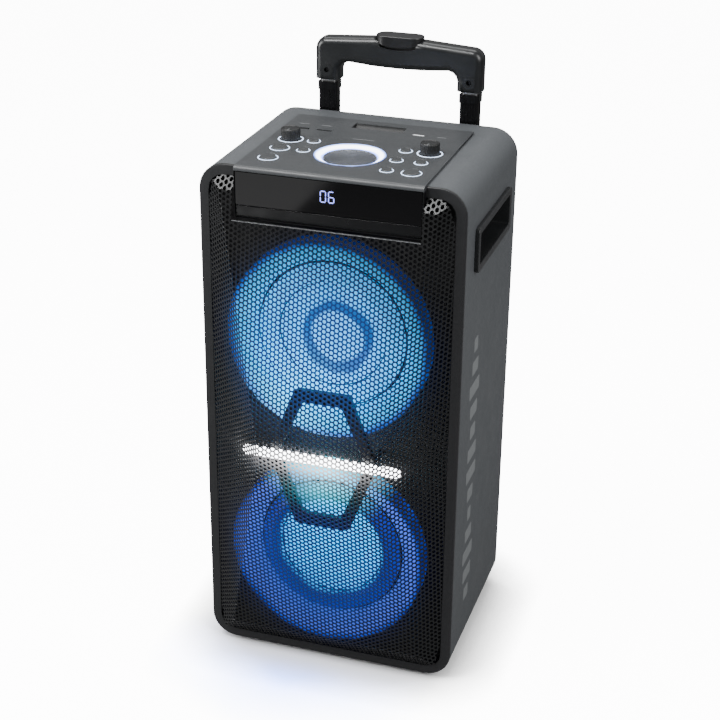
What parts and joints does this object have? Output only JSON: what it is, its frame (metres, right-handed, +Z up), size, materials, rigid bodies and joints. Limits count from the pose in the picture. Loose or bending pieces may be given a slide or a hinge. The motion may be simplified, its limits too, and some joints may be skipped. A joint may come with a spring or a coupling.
{
  "type": "party speaker",
  "caption": "Tall portable party speaker with a perforated front lit from behind, top control panel with a dial, side grips, wheels and telescopic handle.",
  "frame": {"origin": "on the floor, under the middle of the whole object's bounding box", "axes": "+X to the right as seen from the front, +Y towards the rear, +Z up; the grille faces -Y"},
  "size_m": [0.2994, 0.322, 0.6795],
  "materials": {
    "body_plastic": "fine texture",
    "dark_plastic": "fine texture",
    "display_plastic": "clear gloss over black",
    "grille_sheet": "perforated, satin paint",
    "chipboard": "painted black",
    "rubber": "matt",
    "steel": "brushed",
    "black_tube": "black anodised, ribbed",
    "cone_plastic": "translucent, lit from behind",
    "azure_light": "translucent light guide",
    "white_light": "translucent light guide",
    "circuit_board": "solder mask",
    "battery_wrap": "shrink wrap"
  },
  "bodies": {
    "cabinet": {"cabinet_shell": "body_plastic", "front_bezel": "dark_plastic", "front_grille": "grille_sheet", "baffle_board": "chipboard", "control_panel": "body_plastic", "display_window": "display_plastic", "fascia_strip": "dark_plastic", "side_grip_left": "dark_plastic", "side_grip_right": "dark_plastic", "foot_front_left": "rubber", "foot_front_right": "rubber", "foot_rear_left": "rubber", "foot_rear_right": "rubber", "service_panel": "body_plastic", "connection_plate": "dark_plastic", "mains_inlet": "dark_plastic", "bass_port": "dark_plastic", "woofer_upper_frame": "dark_plastic", "woofer_lower_frame": "dark_plastic", "woofer_upper_surround": "rubber", "woofer_lower_surround": "rubber", "light_ring_upper": "azure_light", "light_ring_lower": "azure_light", "hex_trim": "dark_plastic", "light_bar": "white_light", "dial_light_ring": "white_light", "battery_pack": "battery_wrap", "amplifier_board": "circuit_board", "power_supply_board": "circuit_board", "control_board": "circuit_board", "handle_guide_left": "dark_plastic", "handle_guide_right": "dark_plastic", "wheel_axle": "steel", "usb_socket": "steel"},
    "handle_lower_stage": {"outer_tube_left": "black_tube", "outer_tube_right": "black_tube"},
    "handle_upper_stage": {"handle_grip": "dark_plastic", "inner_tube_left": "steel", "inner_tube_right": "steel", "grip_screw_left": "steel", "grip_screw_right": "steel"},
    "release": {"release_button": "rubber"},
    "dial": {"volume_dial": "body_plastic"},
    "mic_knob": {"knob_left": "dark_plastic"},
    "guitar_knob": {"knob_right": "dark_plastic"},
    "left_wheel": {"wheel_left": "rubber"},
    "right_wheel": {"wheel_right": "rubber"},
    "switch": {"power_switch": "rubber"},
    "upper_cone": {"woofer_upper_cone": "cone_plastic"},
    "lower_cone": {"woofer_lower_cone": "cone_plastic"},
    "button_light_cap": {"button_light": "dark_plastic"},
    "button_echo_cap": {"button_echo": "dark_plastic"},
    "button_bass_cap": {"button_bass": "dark_plastic"},
    "button_pair_cap": {"button_pair": "dark_plastic"},
    "button_next_cap": {"button_next": "dark_plastic"},
    "button_play_cap": {"button_play": "dark_plastic"},
    "button_previous_cap": {"button_previous": "dark_plastic"},
    "button_mode_cap": {"button_mode": "dark_plastic"},
    "button_power_cap": {"button_power": "dark_plastic"}
  },
  "joints": [
    {"name": "handle_lower_slide", "type": "slide", "parent": "cabinet", "child": "handle_lower_stage", "axis": [0, 0, 1], "range_m": [-0.033, 0.19]},
    {"name": "handle_upper_slide", "type": "slide", "parent": "handle_lower_stage", "child": "handle_upper_stage", "axis": [0, 0, 1], "range_m": [0, 0.2]},
    {"name": "release_press", "type": "slide", "parent": "handle_upper_stage", "child": "release", "axis": [0, 0, -1], "range_m": [0, 0.002], "stiffness_N_per_m": 900, "springref_m": -0.001},
    {"name": "volume_turn", "type": "hinge", "parent": "cabinet", "child": "dial", "pos_m": [0, -0.042, 0.593], "axis": [0, 0, 1], "continuous": true},
    {"name": "mic_turn", "type": "hinge", "parent": "cabinet", "child": "mic_knob", "pos_m": [-0.078, -0.0095, 0.595], "axis": [0, 0, 1], "range_deg": [-150, 150]},
    {"name": "guitar_turn", "type": "hinge", "parent": "cabinet", "child": "guitar_knob", "pos_m": [0.078, -0.0095, 0.595], "axis": [0, 0, 1], "range_deg": [-150, 150]},
    {"name": "left_wheel_spin", "type": "hinge", "parent": "cabinet", "child": "left_wheel", "pos_m": [-0.088, 0.131, 0.035], "axis": [1, 0, 0], "continuous": true},
    {"name": "right_wheel_spin", "type": "hinge", "parent": "cabinet", "child": "right_wheel", "pos_m": [0.088, 0.131, 0.035], "axis": [1, 0, 0], "continuous": true},
    {"name": "power_rock", "type": "hinge", "parent": "cabinet", "child": "switch", "pos_m": [-0.03, 0.1283, 0.16], "axis": [1, 0, 0], "range_deg": [-8, 8]},
    {"name": "upper_cone_travel", "type": "slide", "parent": "cabinet", "child": "upper_cone", "axis": [0, 1, 0], "range_m": [-0.004, 0.004], "stiffness_N_per_m": 1500},
    {"name": "lower_cone_travel", "type": "slide", "parent": "cabinet", "child": "lower_cone", "axis": [0, 1, 0], "range_m": [-0.004, 0.004], "stiffness_N_per_m": 1500},
    {"name": "button_light_press", "type": "slide", "parent": "cabinet", "child": "button_light_cap", "axis": [0, 0, -1], "range_m": [0, 0.0012], "stiffness_N_per_m": 900, "springref_m": -0.0002},
    {"name": "button_echo_press", "type": "slide", "parent": "cabinet", "child": "button_echo_cap", "axis": [0, 0, -1], "range_m": [0, 0.0012], "stiffness_N_per_m": 900, "springref_m": -0.0002},
    {"name": "button_bass_press", "type": "slide", "parent": "cabinet", "child": "button_bass_cap", "axis": [0, 0, -1], "range_m": [0, 0.0012], "stiffness_N_per_m": 900, "springref_m": -0.0002},
    {"name": "button_pair_press", "type": "slide", "parent": "cabinet", "child": "button_pair_cap", "axis": [0, 0, -1], "range_m": [0, 0.0012], "stiffness_N_per_m": 900, "springref_m": -0.0002},
    {"name": "button_next_press", "type": "slide", "parent": "cabinet", "child": "button_next_cap", "axis": [0, 0, -1], "range_m": [0, 0.0012], "stiffness_N_per_m": 900, "springref_m": -0.0002},
    {"name": "button_play_press", "type": "slide", "parent": "cabinet", "child": "button_play_cap", "axis": [0, 0, -1], "range_m": [0, 0.0012], "stiffness_N_per_m": 900, "springref_m": -0.0002},
    {"name": "button_previous_press", "type": "slide", "parent": "cabinet", "child": "button_previous_cap", "axis": [0, 0, -1], "range_m": [0, 0.0012], "stiffness_N_per_m": 900, "springref_m": -0.0002},
    {"name": "button_mode_press", "type": "slide", "parent": "cabinet", "child": "button_mode_cap", "axis": [0, 0, -1], "range_m": [0, 0.0012], "stiffness_N_per_m": 900, "springref_m": -0.0002},
    {"name": "button_power_press", "type": "slide", "parent": "cabinet", "child": "button_power_cap", "axis": [0, 0, -1], "range_m": [0, 0.0012], "stiffness_N_per_m": 900, "springref_m": -0.0002}
  ]
}
